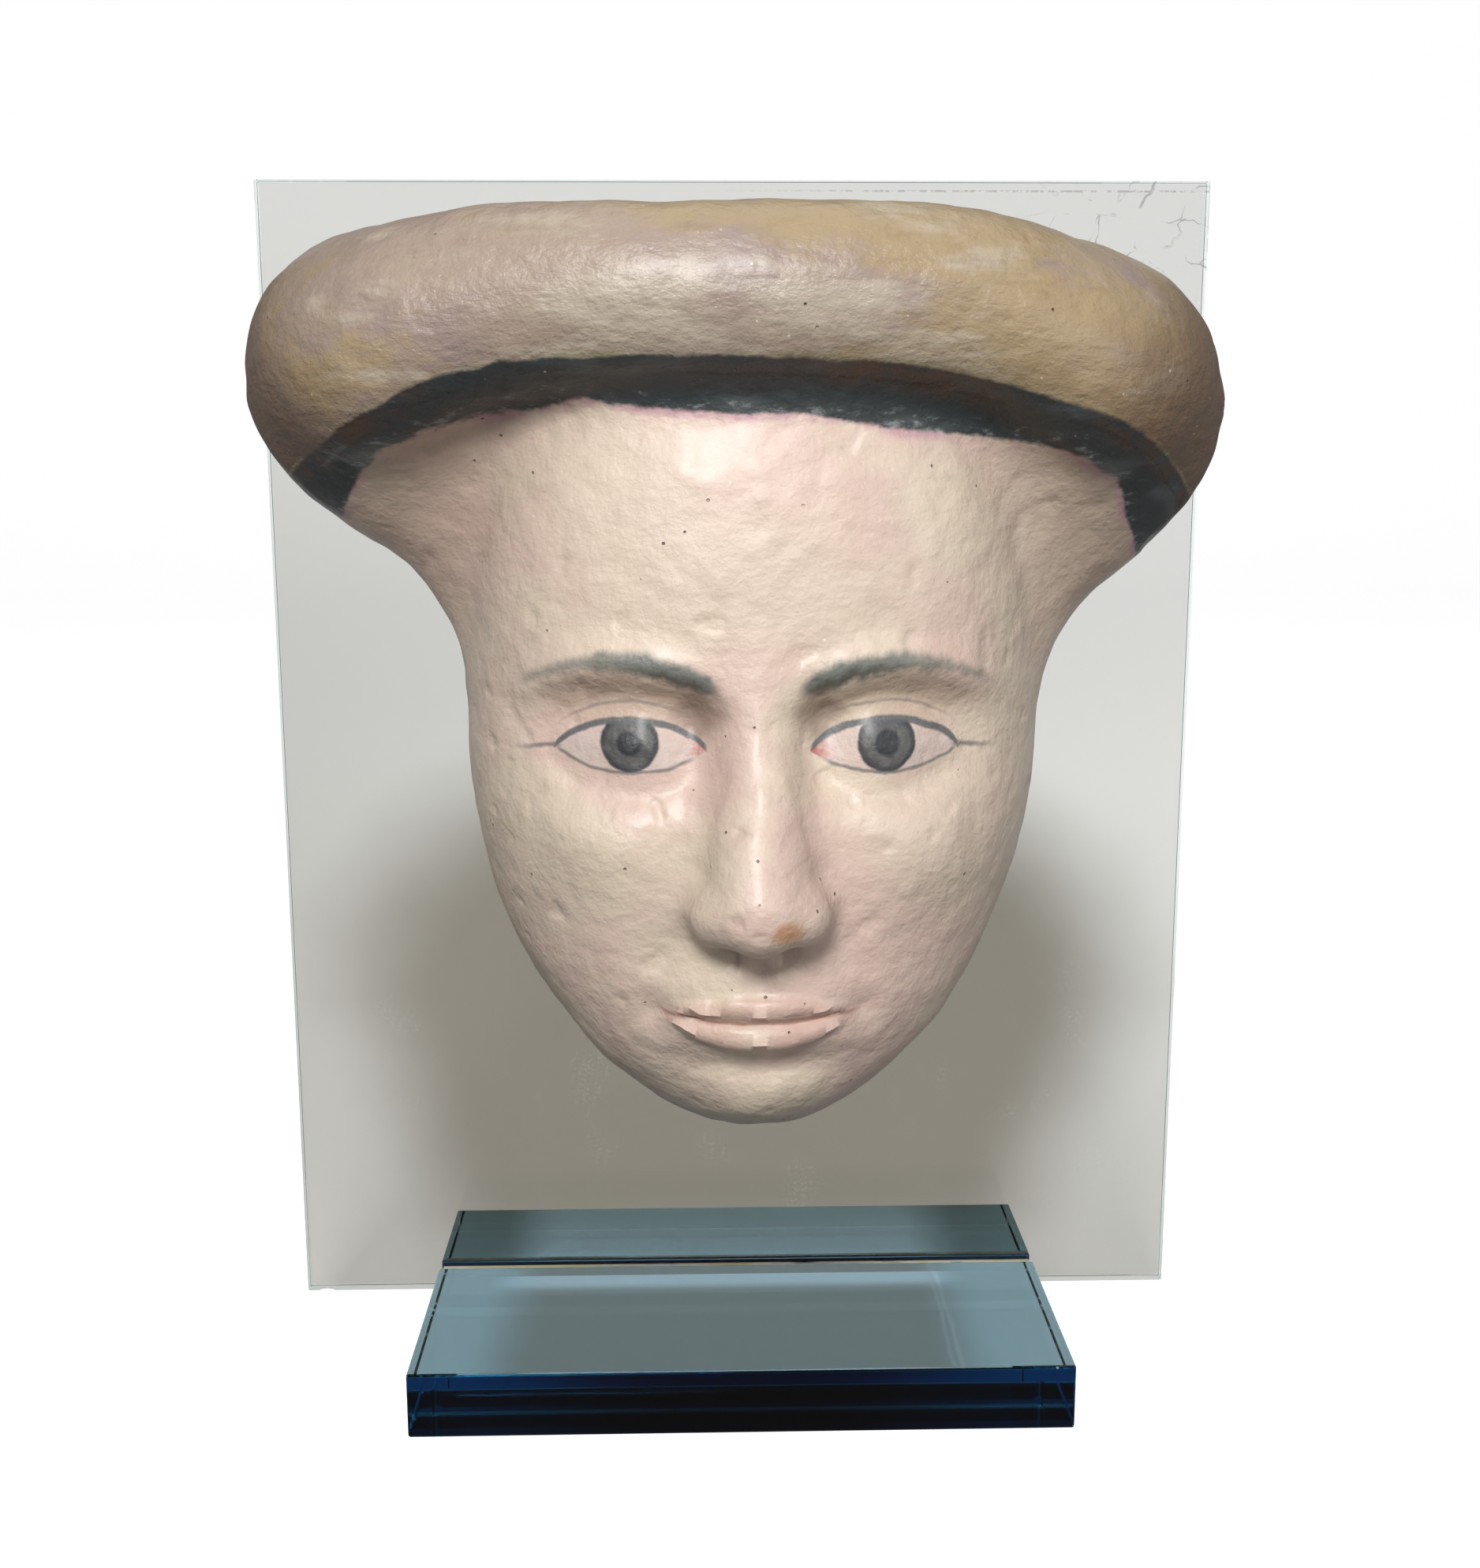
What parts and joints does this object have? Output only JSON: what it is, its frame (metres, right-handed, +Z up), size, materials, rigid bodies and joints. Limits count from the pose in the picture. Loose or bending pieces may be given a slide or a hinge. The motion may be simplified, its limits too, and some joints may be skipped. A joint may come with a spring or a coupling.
{
  "type": "egyptian mummy mask",
  "caption": "Painted plaster funerary mask of a calm face under a thick hair roll, a hollow shell on a clear upright panel that stands in the slot of a blue block.",
  "frame": {"origin": "centre of the base block's underside", "axes": "+Z up, -Y the way the face looks, +X to the right as seen from the front"},
  "size_m": [0.206, 0.1136, 0.2627],
  "materials": {
    "painted_plaster": "hand-painted plaster, soft satin, worn and pitted",
    "clear_acrylic": "clear cast acrylic sheet, polished, lightly scratched",
    "blue_acrylic": "blue tinted cast acrylic, polished"
  },
  "bodies": {
    "root": {"mask": "painted_plaster", "back_panel": "clear_acrylic", "base_block": "blue_acrylic"}
  },
  "joints": []
}
